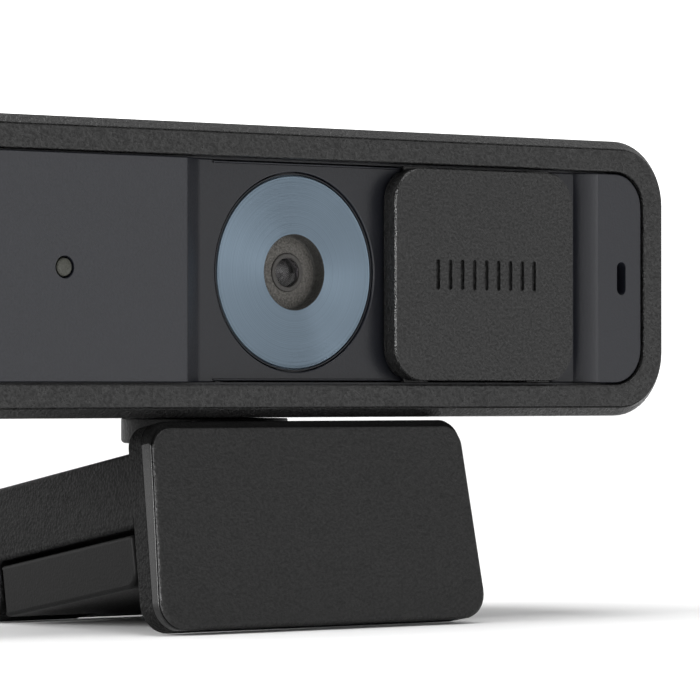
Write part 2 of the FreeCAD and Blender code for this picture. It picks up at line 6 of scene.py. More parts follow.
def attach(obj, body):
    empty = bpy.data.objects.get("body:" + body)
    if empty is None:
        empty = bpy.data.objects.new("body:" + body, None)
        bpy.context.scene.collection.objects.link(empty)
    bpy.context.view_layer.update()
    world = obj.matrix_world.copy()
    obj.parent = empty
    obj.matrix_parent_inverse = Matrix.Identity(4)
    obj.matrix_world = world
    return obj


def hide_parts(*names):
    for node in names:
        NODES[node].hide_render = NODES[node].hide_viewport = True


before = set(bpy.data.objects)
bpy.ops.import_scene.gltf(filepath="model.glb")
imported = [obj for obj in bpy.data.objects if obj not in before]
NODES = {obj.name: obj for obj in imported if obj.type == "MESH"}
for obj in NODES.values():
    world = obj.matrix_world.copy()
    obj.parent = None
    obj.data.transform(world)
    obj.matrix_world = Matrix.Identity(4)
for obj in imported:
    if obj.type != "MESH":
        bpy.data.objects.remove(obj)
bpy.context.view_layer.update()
scene = bpy.context.scene

# ------------------------------------------------------------------ frame constants (mm, same drawing origin as the CAD)
Y_OFF, Z_OFF = -11.862, 22.993
ZC = 11.2
CLIP_TILT, CLIP_Y, CLIP_Z = radians(9.5), 1.38, -6.14


def P(x, y, z):
    """drawing coordinates in mm to the row frame in metres"""
    return Vector((x, y + Y_OFF, z + Z_OFF)) * 0.001


def C(x, y, z):
    """clip's own level coordinates in mm to the row frame in metres"""
    c, s = cos(-CLIP_TILT), sin(-CLIP_TILT)
    return P(x, y * c - z * s + CLIP_Y, y * s + z * c + CLIP_Z)


# ------------------------------------------------------------------ materials
def new_mat(name):
    m = bpy.data.materials.new(name)
    m.use_nodes = True
    nt = m.node_tree
    nt.nodes.clear()
    out = nt.nodes.new("ShaderNodeOutputMaterial")
    bsdf = nt.nodes.new("ShaderNodeBsdfPrincipled")
    nt.links.new(bsdf.outputs[0], out.inputs[0])
    return m, nt, bsdf


def N(nt, kind, **vals):
    n = nt.nodes.new(kind)
    for k, v in vals.items():
        if k in n.inputs.keys():
            n.inputs[k].default_value = v
        else:
            setattr(n, k, v)
    return n


def coords(nt):
    return N(nt, "ShaderNodeTexCoord").outputs["Object"]


def noise_tex(nt, vec, scale, detail=2.0, rough=0.5):
    n = N(nt, "ShaderNodeTexNoise")
    n.inputs["Scale"].default_value = scale
    n.inputs["Detail"].default_value = detail
    n.inputs["Roughness"].default_value = rough
    nt.links.new(vec, n.inputs["Vector"])
    return n


def ramp(nt, fac, stops):
    r = N(nt, "ShaderNodeValToRGB")
    cr = r.color_ramp
    while len(cr.elements) > 1:
        cr.elements.remove(cr.elements[-1])
    cr.elements[0].position, cr.elements[0].color = stops[0][0], (*stops[0][1], 1)
    for p, c in stops[1:]:
        e = cr.elements.new(p)
        e.color = (*c, 1)
    nt.links.new(fac, r.inputs[0])
    return r


def maprange(nt, val, a, b, c, d):
    m = N(nt, "ShaderNodeMapRange")
    m.inputs[1].default_value, m.inputs[2].default_value = a, b
    m.inputs[3].default_value, m.inputs[4].default_value = c, d
    nt.links.new(val, m.inputs[0])
    return m.outputs[0]


def srgb(v):
    v = v / 255.0
    return v / 12.92 if v <= 0.04045 else ((v + 0.055) / 1.055) ** 2.4


def col(r, g=None, b=None):
    if g is None:
        g = b = r
    return (srgb(r), srgb(g), srgb(b))


def plastic(name, base, rough, grain_mm=0.22, grain=0.35, speckle=0.18, rough_var=0.08, spec=0.5, mottle=0.06, wear=0.0):
    """moulded plastic with a spark-eroded grain: bump, roughness and colour all follow the grain"""
    m, nt, b = new_mat(name)
    v = coords(nt)
    fine = noise_tex(nt, v, 1000.0 / grain_mm, 2.0, 0.5)
    coarse = noise_tex(nt, v, 120.0, 2.0, 0.5)
    lo = tuple(c * (1 - speckle) for c in base)
    hi = tuple(c * (1 + speckle) for c in base)
    r = ramp(nt, fine.outputs["Fac"], [(0.32, lo), (0.68, hi)])
    mix = N(nt, "ShaderNodeMix", data_type="RGBA", blend_type="MULTIPLY")
    mix.inputs[0].default_value = 1.0
    r2 = ramp(nt, coarse.outputs["Fac"], [(0.3, (1 - mottle,) * 3), (0.7, (1 + mottle,) * 3)])
    nt.links.new(r.outputs[0], mix.inputs[6])
    nt.links.new(r2.outputs[0], mix.inputs[7])
    nt.links.new(mix.outputs[2], b.inputs["Base Color"])
    nt.links.new(maprange(nt, fine.outputs["Fac"], 0.3, 0.7, rough + rough_var, rough - rough_var), b.inputs["Roughness"])
    bump = N(nt, "ShaderNodeBump")
    bump.inputs["Strength"].default_value = grain
    bump.inputs["Distance"].default_value = 0.0002
    nt.links.new(fine.outputs["Fac"], bump.inputs["Height"])
    nt.links.new(bump.outputs[0], b.inputs["Normal"])
    b.inputs["Specular IOR Level"].default_value = spec
    return m


def metal(name, base, rough, scale=(1, 1, 1), freq=900.0, bump=0.08, var=0.1):
    m, nt, b = new_mat(name)
    v = coords(nt)
    mp = N(nt, "ShaderNodeMapping")
    mp.inputs["Scale"].default_value = scale
    nt.links.new(v, mp.inputs[0])
    n = noise_tex(nt, mp.outputs[0], freq, 3.0, 0.6)
    r = ramp(nt, n.outputs["Fac"], [(0.3, tuple(c * (1 - var) for c in base)), (0.7, tuple(min(1, c * (1 + var)) for c in base))])
    nt.links.new(r.outputs[0], b.inputs["Base Color"])
    nt.links.new(maprange(nt, n.outputs["Fac"], 0.3, 0.7, rough + 0.08, max(0.05, rough - 0.06)), b.inputs["Roughness"])
    bp = N(nt, "ShaderNodeBump")
    bp.inputs["Strength"].default_value = bump
    bp.inputs["Distance"].default_value = 0.00003
    nt.links.new(n.outputs["Fac"], bp.inputs["Height"])
    nt.links.new(bp.outputs[0], b.inputs["Normal"])
    b.inputs["Metallic"].default_value = 1.0
    return m


M = {}
M["bezel"] = plastic("bezel_grain", (0.0105,) * 3, 0.38, 0.29, 0.6, 0.90, 0.14, 0.42)
M["housing"] = plastic("housing_grain", (0.0105,) * 3, 0.38, 0.29, 0.6, 0.90, 0.14, 0.42)
M["panel"] = plastic("panel_satin", (0.0120, 0.0130, 0.0180), 0.32, 0.25, 0.08, 0.08, 0.04, 0.46, 0.03)
# the channel floor gets a darker, less glossy copy of the panel material
M["channel"] = plastic("channel_floor_darker", (0.0105, 0.0113, 0.0150), 0.32, 0.25, 0.08, 0.08, 0.04, 0.36, 0.03)
M["cap"] = plastic("cap_grain", (0.0100,) * 3, 0.38, 0.29, 0.6, 0.85, 0.14, 0.40)
M["rim"] = plastic("cap_rim", (0.0100,) * 3, 0.30, 0.22, 0.45, 0.5, 0.10, 0.60)
M["wall"] = plastic("well_wall", (0.052, 0.051, 0.048), 0.55, 0.25, 0.5, 0.25, 0.05, 0.25)
M["slider"] = plastic("slider_satin", (0.010,) * 3, 0.40, 0.3, 0.2, 0.08)
M["clip"] = plastic("clip_grain", (0.0050,) * 3, 0.52, 0.30, 0.9, 0.50, 0.06, 0.05)
M["cover"] = plastic("cover_grain", (0.0085,) * 3, 0.46, 0.28, 0.6, 0.60, 0.06, 0.31)
# painted shade: a near-black, almost unglossy material for the jaw cover's top band, standing in for the shadow under
# the housing
M["shade"] = plastic("jaw_top_painted_shade", (0.0035,) * 3, 0.60, 0.28, 0.5, 0.3, 0.05, 0.04)
M["smooth"] = plastic("smooth_satin", (0.008,) * 3, 0.30, 0.25, 0.06, 0.05, 0.05, 0.27)
M["leg"] = plastic("leg_satin", (0.0055,) * 3, 0.42, 0.25, 0.15, 0.08, 0.05, 0.05)
M["neck"] = plastic("neck_plastic", (0.005,) * 3, 0.50, 0.3, 0.4, 0.1, 0.05, 0.10)
M["inner"] = plastic("inner_black", (0.006,) * 3, 0.55, 0.3, 0.3, 0.1, 0.05, 0.2)
M["rubber"] = plastic("pad_rubber", (0.012,) * 3, 0.75, 0.35, 0.5, 0.12)
M["shroud"] = plastic("shroud_grain", (0.105, 0.100, 0.092), 0.55, 0.20, 0.7, 0.35, 0.06, 0.25)
M["ring"] = plastic("retainer_ring", (0.046, 0.043, 0.040), 0.40, 0.2, 0.3, 0.1, 0.08, 0.4)
M["board"] = plastic("board_mask", col(12, 62, 38), 0.35, 0.5, 0.08, 0.12)
M["chip"] = plastic("chip_package", col(24), 0.45, 0.2, 0.2, 0.1)
M["sensor"] = plastic("sensor_die", col(46, 40, 62), 0.15, 0.3, 0.02, 0.2)
M["led"] = plastic("indicator_frosted", (0.046, 0.047, 0.038), 0.40, 0.2, 0.3, 0.2, 0.08, 0.4)
M["steel"] = metal("turned_steel", (0.56, 0.56, 0.57), 0.3)
M["screw"] = metal("blackened_screw", (0.30, 0.30, 0.31), 0.35)
M["brass"] = metal("turned_brass", (0.72, 0.52, 0.25), 0.3)
M["barrel"] = plastic("barrel_black", (0.010, 0.009, 0.008), 0.40, 0.3, 0.0, 0.1, 0.05, 0.4)


def spun(name, base, rough, pitch):
    """metal turned on a lathe: every variation follows the distance from the lens axis"""
    m, nt, b = new_mat(name)
    sub = N(nt, "ShaderNodeVectorMath", operation="SUBTRACT")
    sub.inputs[1].default_value = P(0, 0, ZC)
    nt.links.new(coords(nt), sub.inputs[0])
    fl = N(nt, "ShaderNodeVectorMath", operation="MULTIPLY")
    fl.inputs[1].default_value = (1, 0, 1)
    nt.links.new(sub.outputs[0], fl.inputs[0])
    ln = N(nt, "ShaderNodeVectorMath", operation="LENGTH")
    nt.links.new(fl.outputs[0], ln.inputs[0])
    cx = N(nt, "ShaderNodeCombineXYZ")
    nt.links.new(ln.outputs["Value"], cx.inputs[0])
    n = noise_tex(nt, cx.outputs[0], 1000.0 / pitch, 3.0, 0.6)
    r = ramp(nt, n.outputs["Fac"], [(0.3, tuple(c * 0.93 for c in base)), (0.7, tuple(min(1, c * 1.07) for c in base))])
    nt.links.new(r.outputs[0], b.inputs["Base Color"])
    nt.links.new(maprange(nt, n.outputs["Fac"], 0.3, 0.7, rough + 0.05, rough - 0.05), b.inputs["Roughness"])
    bp = N(nt, "ShaderNodeBump")
    bp.inputs["Strength"].default_value = 0.25
    bp.inputs["Distance"].default_value = 0.00002
    nt.links.new(n.outputs["Fac"], bp.inputs["Height"])
    nt.links.new(bp.outputs[0], b.inputs["Normal"])
    tg = N(nt, "ShaderNodeTangent")
    tg.direction_type, tg.axis = "RADIAL", "Y"
    nt.links.new(tg.outputs[0], b.inputs["Tangent"])
    b.inputs["Metallic"].default_value = 1.0
    b.inputs["Anisotropic"].default_value = 1.0
    b.inputs["Anisotropic Rotation"].default_value = 0.25
    return m


M["disc"] = spun("spun_disc", (0.169, 0.220, 0.271), 0.38, 0.16)


def glass(name, tint, rough, ior, trans=1.0):
    m, nt, b = new_mat(name)
    n = noise_tex(nt, coords(nt), 900.0, 2.0, 0.5)
    r = ramp(nt, n.outputs["Fac"], [(0.3, tuple(c * 0.97 for c in tint)), (0.7, tint)])
    nt.links.new(r.outputs[0], b.inputs["Base Color"])
    nt.links.new(maprange(nt, n.outputs["Fac"], 0.3, 0.7, rough, rough + 0.01), b.inputs["Roughness"])
    b.inputs["Transmission Weight"].default_value = trans
    b.inputs["IOR"].default_value = ior
    return m


M["glass"] = glass("coated_glass", (0.64, 0.61, 0.64), 0.02, 1.38)
M["glass_rear"] = plastic("rear_glass_coating", (0.014, 0.009, 0.018), 0.22, 0.5, 0.0, 0.1, 0.02, 0.7)
M["filter"] = glass("infrared_filter_glass", (0.75, 0.85, 0.95), 0.02, 1.5)


def set_mat(o, m):
    o.data.materials.clear()
    o.data.materials.append(m)


# ------------------------------------------------------------------ mesh tools
from mathutils.geometry import delaunay_2d_cdt


def outline(pts, radii, n=8):
    """closed counter-clockwise outline with rounded corners: list of (u, v, nu, nv), n outward normal"""
    out = []
    k = len(pts)
    for i in range(k):
        p, a, b = pts[i], pts[i - 1], pts[(i + 1) % k]
        r = radii[i] if isinstance(radii, (list, tuple)) else radii
        d1 = (p[0] - a[0], p[1] - a[1]); l = hypot(*d1); d1 = (d1[0] / l, d1[1] / l)
        d2 = (b[0] - p[0], b[1] - p[1]); l = hypot(*d2); d2 = (d2[0] / l, d2[1] / l)
        n1, n2 = (d1[1], -d1[0]), (d2[1], -d2[0])
        ang = atan2(d1[0] * d2[1] - d1[1] * d2[0], d1[0] * d2[0] + d1[1] * d2[1])
        if r <= 1e-6 or abs(ang) < 1e-6:
            m = (n1[0] + n2[0], n1[1] + n2[1])
            s = 2.0 / (m[0] ** 2 + m[1] ** 2)
            out.append((p[0], p[1], m[0] * s, m[1] * s))
            continue
        sg = 1.0 if ang > 0 else -1.0
        t = r * tan(abs(ang) / 2)
        s0 = (p[0] - d1[0] * t, p[1] - d1[1] * t)
        c = (s0[0] - n1[0] * r * sg, s0[1] - n1[1] * r * sg)
        steps = max(2, int(round(n * abs(ang) / (pi / 2))))
        for j in range(steps + 1):
            q = ang * j / steps
            nx = n1[0] * cos(q) - n1[1] * sin(q)
            ny = n1[0] * sin(q) + n1[1] * cos(q)
            out.append((c[0] + nx * r * sg, c[1] + ny * r * sg, nx, ny))
    return out


def rrect(x0, x1, z0, z1, r, n=8):
    return outline([(x0, z0), (x1, z0), (x1, z1), (x0, z1)], r, n)


def crect(hx, hz, r, cx=0.0, cz=ZC, n=8):
    return rrect(cx - hx, cx + hx, cz - hz, cz + hz, r, n)


def circle(cx, cz, r, n=48):
    return [(cx + r * cos(2 * pi * i / n), cz + r * sin(2 * pi * i / n), cos(2 * pi * i / n), sin(2 * pi * i / n)) for i in range(n)]


def offset(loop, d):
    return [(u + nu * d, v + nv * d, nu, nv) for u, v, nu, nv in loop]


def inside(poly, u, v):
    c = False
    j = len(poly) - 1
    for i in range(len(poly)):
        ui, vi, uj, vj = poly[i][0], poly[i][1], poly[j][0], poly[j][1]
        if (vi > v) != (vj > v) and u < (uj - ui) * (v - vi) / (vj - vi) + ui:
            c = not c
        j = i
    return c


def nearest_normal(loop, u, v):
    best = None
    for i in range(len(loop)):
        a, b = loop[i], loop[(i + 1) % len(loop)]
        du, dv = b[0] - a[0], b[1] - a[1]
        l2 = du * du + dv * dv
        t = 0.0 if l2 < 1e-14 else max(0.0, min(1.0, ((u - a[0]) * du + (v - a[1]) * dv) / l2))
        d = hypot(a[0] + du * t - u, a[1] + dv * t - v)
        if best is None or d < best[0] - 1e-9:
            if t < 1e-6:
                nn = (a[2], a[3])
            elif t > 1 - 1e-6:
                nn = (b[2], b[3])
            else:
                nn = (a[2] * (1 - t) + b[2] * t, a[3] * (1 - t) + b[3] * t)
            best = (d, nn)
    return best


FS = "__mod_weightednormals_faceweight"


class Plate:
    """flat or profiled sheet through an outline with holes; its rims can be grown into walls and fillets"""

    def __init__(self, bm, loop, holes=(), place=None, y=0.0, us=(), vs=(), strong=None):
        self.bm, self.place = bm, place
        self.yf = y if callable(y) else (lambda u, v: y)
        co, ed = [], []
        for lp in [loop] + list(holes):
            s = len(co)
            co += [(p[0], p[1]) for p in lp]
            ed += [(s + i, s + (i + 1) % len(lp)) for i in range(len(lp))]
        u0, u1 = min(p[0] for p in loop) - 1, max(p[0] for p in loop) + 1
        v0, v1 = min(p[1] for p in loop) - 1, max(p[1] for p in loop) + 1
        for x in us:
            co += [(x, v0), (x, v1)]
            ed.append((len(co) - 2, len(co) - 1))
        for z in vs:
            co += [(u0, z), (u1, z)]
            ed.append((len(co) - 2, len(co) - 1))
        strength = bm.faces.layers.int.get(FS) or bm.faces.layers.int.new(FS)
        vo, eo, fo = delaunay_2d_cdt([Vector(c) for c in co], ed, [], 0, 1e-6, False)[:3]
        self.uv = {}
        vmap = {}
        self.faces = []
        for f in fo:
            cu = sum(vo[i][0] for i in f) / 3
            cv = sum(vo[i][1] for i in f) / 3
            if not inside(loop, cu, cv) or any(inside(h, cu, cv) for h in holes):
                continue
            vs_ = []
            for i in f:
                if i not in vmap:
                    u, v = vo[i]
                    nv = bm.verts.new(place(u, self.yf(u, v), v))
                    vmap[i] = nv
                    self.uv[nv] = (u, v)
                vs_.append(vmap[i])
            try:
                nf = bm.faces.new(vs_)
            except ValueError:
                continue
            if strong is None or strong(cu, cv):
                nf[strength] = 16384
            self.faces.append(nf)
        fs = set(self.faces)
        border = [e for v in vmap.values() for e in v.link_edges]
        border = {e for e in border if sum(1 for f in e.link_faces if f in fs) == 1}
        self.rims = [[] for _ in range(1 + len(holes))]
        loops = [loop] + list(holes)
        for e in border:
            a, b = self.uv[e.verts[0]], self.uv[e.verts[1]]
            mu, mv = (a[0] + b[0]) / 2, (a[1] + b[1]) / 2
            k = min(range(len(loops)), key=lambda i: nearest_normal(loops[i], mu, mv)[0])
            self.rims[k].append(e)
        self.nrm = {}
        for k, rim in enumerate(self.rims):
            for e in rim:
                e.smooth = False
                for v in e.verts:
                    if v not in self.nrm:
                        self.nrm[v] = nearest_normal(loops[k], *self.uv[v])[1]

    def grow(self, k, steps, mat=0):
        """steps: (offset along the outline's outward normal, y or function of (u, v)); offsets are totals"""
        rim = self.rims[k]
        cur = {v: v for e in rim for v in e.verts}
        new_faces = []
        for d, y in steps:
            nxt = {}
            for v in cur:
                u, w = self.uv[v]
                n = self.nrm[v]
                uu, ww = u + n[0] * d, w + n[1] * d
                yy = y(uu, ww) if callable(y) else y
                nxt[v] = self.bm.verts.new(self.place(uu, yy, ww))
            for e in rim:
                a, b = e.verts
                try:
                    f = self.bm.faces.new((cur[a], cur[b], nxt[b], nxt[a]))
                    f.material_index = mat
                    new_faces.append(f)
                except ValueError:
                    pass
            cur = nxt
        self.last = [(cur[e.verts[0]], cur[e.verts[1]]) for e in rim]
        return new_faces

    def close(self):
        """flat cap on the last grown rim"""
        nb = {}
        for a, b in self.last:
            nb.setdefault(a, []).append(b)
            nb.setdefault(b, []).append(a)
        start = next(iter(nb))
        lp, prev, cur = [start], None, start
        while True:
            n = [x for x in nb[cur] if x is not prev]
            if not n or n[0] is start:
                break
            prev, cur = cur, n[0]
            lp.append(cur)
            if len(lp) > len(nb):
                break
        if len(lp) > 2:
            self.bm.faces.new(lp)


def fillet(r, n=3, d0=0.0, y0=0.0, sy=1.0):
    """quarter round from a face edge outward: (offset, y) steps, d from d0 to d0+r, y from y0 to y0+sy*r"""
    return [(d0 + r * sin(pi / 2 * i / n), y0 + sy * r * (1 - cos(pi / 2 * i / n))) for i in range(1, n + 1)]


def finish_mesh(o, angle=32.0, weighted=True):
    me = o.data
    b = bmesh.new()
    b.from_mesh(me)
    for f in b.faces:
        f.smooth = True
    for e in b.edges:
        if len(e.link_faces) != 2 or e.calc_face_angle(0) > radians(angle):
            e.smooth = False
        elif e.calc_face_angle(0) < radians(0.5):
            e.smooth = True
    b.to_mesh(me)
    b.free()
    if weighted:
        w = o.modifiers.new("wn", "WEIGHTED_NORMAL")
        w.keep_sharp = True
        w.use_face_influence = True
        w.weight = 80
    return o


def new_obj(name, bm, mats, body, replaces=(), angle=32.0, weighted=True, weld=2e-7, cuts=(), bevel=0.0):
    me = bpy.data.meshes.new(name)
    if weld:
        bmesh.ops.remove_doubles(bm, verts=bm.verts, dist=weld)
        bmesh.ops.dissolve_degenerate(bm, edges=bm.edges, dist=1e-8)
    bmesh.ops.recalc_face_normals(bm, faces=bm.faces)
    bm.to_mesh(me)
    bm.free()
    o = bpy.data.objects.new(name, me)
    scene.collection.objects.link(o)
    for m in (mats if isinstance(mats, (list, tuple)) else [mats]):
        me.materials.append(m)
    for c in cuts:
        cm = bpy.data.meshes.new("cut")
        bmesh.ops.recalc_face_normals(c, faces=c.faces)
        c.to_mesh(cm)
        c.free()
        co = bpy.data.objects.new("cut", cm)
        scene.collection.objects.link(co)
        md = o.modifiers.new("cut", "BOOLEAN")
        md.operation, md.solver, md.object = "DIFFERENCE", "EXACT", co
        dg = bpy.context.evaluated_depsgraph_get()
        res = bpy.data.meshes.new_from_object(o.evaluated_get(dg))
        o.modifiers.clear()
        o.data = res
        bpy.data.objects.remove(co)
        bpy.data.meshes.remove(cm)
    if bevel:
        b = o.modifiers.new("edges", "BEVEL")
        b.width, b.segments, b.limit_method, b.angle_limit = bevel * 0.001, 2, "ANGLE", radians(35)
        b.harden_normals = False
    finish_mesh(o, angle, weighted)
    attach(o, body)
    if replaces:
        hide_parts(*replaces)
    return o


def lathe(bm, prof, place, n=96, mat=0, closed=False):
    """prof: (radius, along) pairs; place(radius, along, angle)"""
    rings = []
    for r, a in prof:
        if r < 1e-9:
            rings.append([bm.verts.new(place(0.0, a, 0.0))])
        else:
            rings.append([bm.verts.new(place(r, a, 2 * pi * i / n)) for i in range(n)])
    pairs = list(zip(rings, rings[1:])) + ([(rings[-1], rings[0])] if closed else [])
    for A, B in pairs:
        for i in range(n):
            j = (i + 1) % n
            q = [A[i % len(A)], A[j % len(A)], B[j % len(B)], B[i % len(B)]]
            q = list(dict.fromkeys(q))
            if len(q) > 2:
                f = bm.faces.new(q)
                f.material_index = mat
    return bm


def axis_y(cx, cz):
    return lambda r, a, t: P(cx + r * cos(t), a, cz + r * sin(t))


def prism(bm, loop, x0, x1, f0, f1, place, n=3, holes=()):
    """outline in (u, v), from x0 to x1 along the third axis, with rounded end rims f0 and f1 (0 = square)"""
    a = Plate(bm, offset(loop, -f0) if f0 else loop, holes, lambda u, y, v: place(y, u, v), x0)
    st = ([(d, x0 + k) for d, k in fillet(f0, n)] if f0 else [])
    st += [(f0, x1 - f1)]
    if f1:
        st += [(f0 - f1 + f1 * cos(pi / 2 * i / n), x1 - f1 + f1 * sin(pi / 2 * i / n)) for i in range(1, n + 1)]
    a.grow(0, st)
    Plate(bm, offset(loop, -f1) if f1 else loop, holes, lambda u, y, v: place(y, u, v), x1)
    return a


def carry(node, mat):
    o = NODES[node]
    o.data.materials.clear()
    o.data.materials.append(mat)


def cyl(place, r, a0, a1, n=40):
    bm = bmesh.new()
    lathe(bm, [(0, a0), (r, a0), (r, a1), (0, a1)], place, n)
    return bm


# ------------------------------------------------------------------ HEAD: front bezel
HW, HH, BR = 47.0, 14.0, 6.5
BEV = 0.93
bm = bmesh.new()
face_in = BEV + 0.13
front = crect(HW - face_in, HH - face_in, BR - face_in, n=14)
opening = crect(43.65 + 0.2, 10.83 + 0.2, 3.7 + 0.2, n=10)
pl = Plate(bm, front, [opening], P, -1.9)
cav = crect(HW - 1.6, HH - 1.6, BR - 1.6, n=14)
pl.grow(0, [(0.03, -1.89), (0.05, -1.86), (0.065, -1.72), (0.11, -1.665), (0.155, -1.675), (0.185, -1.70), (0.215, -1.715), (0.26, -1.695),
            (face_in - 0.13, -0.955), (face_in - 0.06, -0.86), (face_in - 0.02, -0.78), (face_in, -0.66), (face_in, 2.93), (face_in - 0.07, 3.0),
            (face_in - 1.6, 3.0), (face_in - 1.6, -0.1)])
pl.grow(1, [(-0.06, -1.89), (-0.12, -1.855), (-0.17, -1.79), (-0.2, -1.70), (-0.2, -0.1)])
Plate(bm, offset(front, face_in - 1.6), [offset(opening, -0.2)], P, -0.1)
new_obj("front_bezel_body", bm, M["bezel"], "head", ("front_bezel",), 40)

# ------------------------------------------------------------------ HEAD: front panel with its channel
FLOOR_Y, FLAT_Y = -0.1, -1.6


prof = [(-60, FLAT_Y), (-14.05, FLAT_Y), (-13.97, FLAT_Y + 0.01), (-13.89, FLAT_Y + 0.038), (-13.82, FLAT_Y + 0.078), (-11.86, FLOOR_Y - 0.165), (-11.74, FLOOR_Y - 0.09),
        (-11.61, FLOOR_Y - 0.036), (-11.48, FLOOR_Y - 0.01), (-11.34, FLOOR_Y)]
# cove on the right: steep at its foot, flattening towards the crest
b0, b1, b2, b3 = (35.55, FLOOR_Y), (35.97, -0.74), (36.58, -1.235), (37.29, -1.535)
for i in range(0, 17):
    t = i / 16
    w0, w1, w2, w3 = (1 - t) ** 3, 3 * t * (1 - t) ** 2, 3 * t * t * (1 - t), t ** 3
    prof.append((b0[0] * w0 + b1[0] * w1 + b2[0] * w2 + b3[0] * w3, b0[1] * w0 + b1[1] * w1 + b2[1] * w2 + b3[1] * w3))
prof += [(37.33, -1.550), (37.57, -1.612), (37.65, -1.618), (37.76, FLAT_Y), (60, FLAT_Y)]


def panel_y(u, v=0.0):
    for (a, ya), (b, yb) in zip(prof, prof[1:]):
        if a <= u <= b:
            return ya + (yb - ya) * (u - a) / (b - a)
    return FLAT_Y


bm = bmesh.new()
raised = crect(43.45 - 0.12, 10.63 - 0.12, 3.5 - 0.12, n=10)
CH = 0.08
pocket = circle(0, ZC, 9.78, 120)
slots = []
for sgn in (-1, 1):
    za, zb = sorted((ZC + sgn * 10.44, ZC + sgn * 10.75))
    slots.append(rrect(-9.9, 32.7, za, zb, 0.12, 3))
led_h = circle(-27.94, ZC, 1.02 + CH, 40)
mics = [crect(1.13 / 2 + CH, 3.3 / 2 + CH, 1.13 / 2 + CH - 0.002, sgn * 40.77, ZC, 8) for sgn in (-1, 1)]
holes = [pocket] + slots + [led_h] + mics
pl = Plate(bm, raised, holes, P, panel_y, us=[p[0] for p in prof[1:-1]], strong=lambda u, v: u < -14.05 or u > 37.76 or -11.34 < u < 35.55)
# faces of the recessed channel floor take the darker channel material
for f in pl.faces:
    if -0.01406 < f.calc_center_median().x < 0.03555:
        f.material_index = 1
flush = lambda k: (lambda u, v: min(panel_y(u) + k, 1.29))
pl.grow(0, [(0.045, flush(0.012)), (0.085, flush(0.04)), (0.11, flush(0.075)), (0.12, flush(0.12)), (0.12, 0.3)])
pl.grow(1, [(-0.04, -0.09), (-0.08, -0.055), (-0.11, 0.0), (-0.12, 0.06), (-0.12, 0.75), (-5.33, 0.75), (-5.33, 1.3)])
for k in (2, 3):
    pl.grow(k, [(-0.03, -0.09), (-0.055, -0.05), (-0.06, 1.3)])
pl.grow(4, [(-CH * 0.6, FLAT_Y + 0.02), (-CH, FLAT_Y + 0.08), (-CH, 1.3)])
for k in (5, 6):
    pl.grow(k, [(-CH * 0.6, FLAT_Y + 0.02), (-CH, FLAT_Y + 0.08), (-CH, 1.3)])
# flange behind the bezel
fl = crect(45.3, 12.3, 4.8, n=10)
Plate(bm, fl, [offset(raised, 0.12)], P, 0.3)
bk = Plate(bm, fl, [offset(pocket, -5.33), offset(slots[0], -0.06), offset(slots[1], -0.06), offset(led_h, -CH), offset(mics[0], -CH), offset(mics[1], -CH)], P, 1.3)
bk.grow(0, [(0, 0.3)])
# slim ring standing between the disc and the wall of its pocket
lathe(bm, [(9.41, 0.75), (9.41, 0.10), (9.435, 0.066), (9.475, 0.055), (9.515, 0.066), (9.54, 0.10), (9.54, 0.75)], axis_y(0, ZC), 120, 1, closed=True)
# a fine raised rib along each guide slot
for sgn in (-1, 1):
    za, zb = sorted((ZC + sgn * 10.27, ZC + sgn * 10.43))
    prism(bm, rrect(-9.9, 32.7, za, zb, 0.07, 3), 0.2, -0.19, 0.0, 0.06, lambda y, u, v: P(u, y, v), 3)
new_obj("front_panel_body", bm, [M["panel"], M["channel"]], "head", ("front_panel",), 34, weld=0)

# ------------------------------------------------------------------ HEAD: lens disc, spun with fine rings
bm = bmesh.new()
pr = [(3.66, 0.75), (3.66, 0.10), (3.675, 0.066), (3.71, 0.052), (3.80, 0.05)]
r, pitch, k = 3.90, 0.176, 0
while r < 9.06:
    pr.append((r, 0.052 + (0.0080 if k % 4 == 1 else 0.0040 if k % 2 == 0 else 0.0)))
    r += pitch / 4
    k += 1
pr += [(9.10, 0.05), (9.145, 0.018), (9.19, 0.006), (9.235, 0.014), (9.27, 0.055), (9.285, 0.12), (9.285, 0.50), (9.54, 0.55), (9.54, 0.75)]
lathe(bm, pr, axis_y(0, ZC), 180, closed=True)
for f in bm.faces:
    c = f.calc_center_median()
    if hypot(c.x, c.z - P(0, 0, ZC).z) < 0.003668:
        f.material_index = 1
new_obj("lens_disc_body", bm, [M["disc"], M["wall"]], "head", ("lens_disc",), 50, weighted=False)

# ------------------------------------------------------------------ HEAD: lens shroud, retainer, glass
bm = bmesh.new()
pr = [(3.66, 0.76), (3.66, 1.40), (3.64, 1.50), (3.58, 1.57), (3.50, 1.59), (3.40, 1.57), (1.94, 1.26), (1.91, 1.265), (1.90, 1.30), (1.90, 2.2),
      (5.6, 2.2), (5.6, 1.3), (4.4, 1.3), (4.4, 0.76)]
lathe(bm, pr, axis_y(0, ZC), 96, closed=True)
for f in bm.faces:
    c = f.calc_center_median()
    if hypot(c.x, c.z - P(0, 0, ZC).z) > 0.00350:
        f.material_index = 1
new_obj("lens_shroud_body", bm, [M["shroud"], M["wall"]], "head", ("lens_shroud",), 35, weighted=False)
bm = bmesh.new()
pr = [(1.41, 1.35), (1.41, 1.20), (1.43, 1.145), (1.48, 1.12), (1.56, 1.12), (1.60, 1.135), (1.64, 1.12), (1.76, 1.12), (1.83, 1.14), (1.875, 1.19), (1.887, 1.26), (1.887, 1.35)]
lathe(bm, pr, axis_y(0, ZC), 72, closed=True)
new_obj("lens_retainer_body", bm, M["ring"], "head", ("lens_retainer",), 45, weighted=False)
bm = bmesh.new()
pr = []
for i in range(0, 11):
    a = i / 10
    pr.append((1.40 * a, 1.13 + 0.26 * a * a))
pr += [(1.49, 1.40), (1.49, 2.28)]
for i in range(10, -1, -1):
    a = i / 10
    pr.append((1.2 * a, 2.28 - 0.35 * (1 - a * a)))
lathe(bm, pr, axis_y(0, ZC), 64)
new_obj("lens_front_glass", bm, M["glass"], "head", ("lens_front_element",), 50, weighted=False)
bm = bmesh.new()
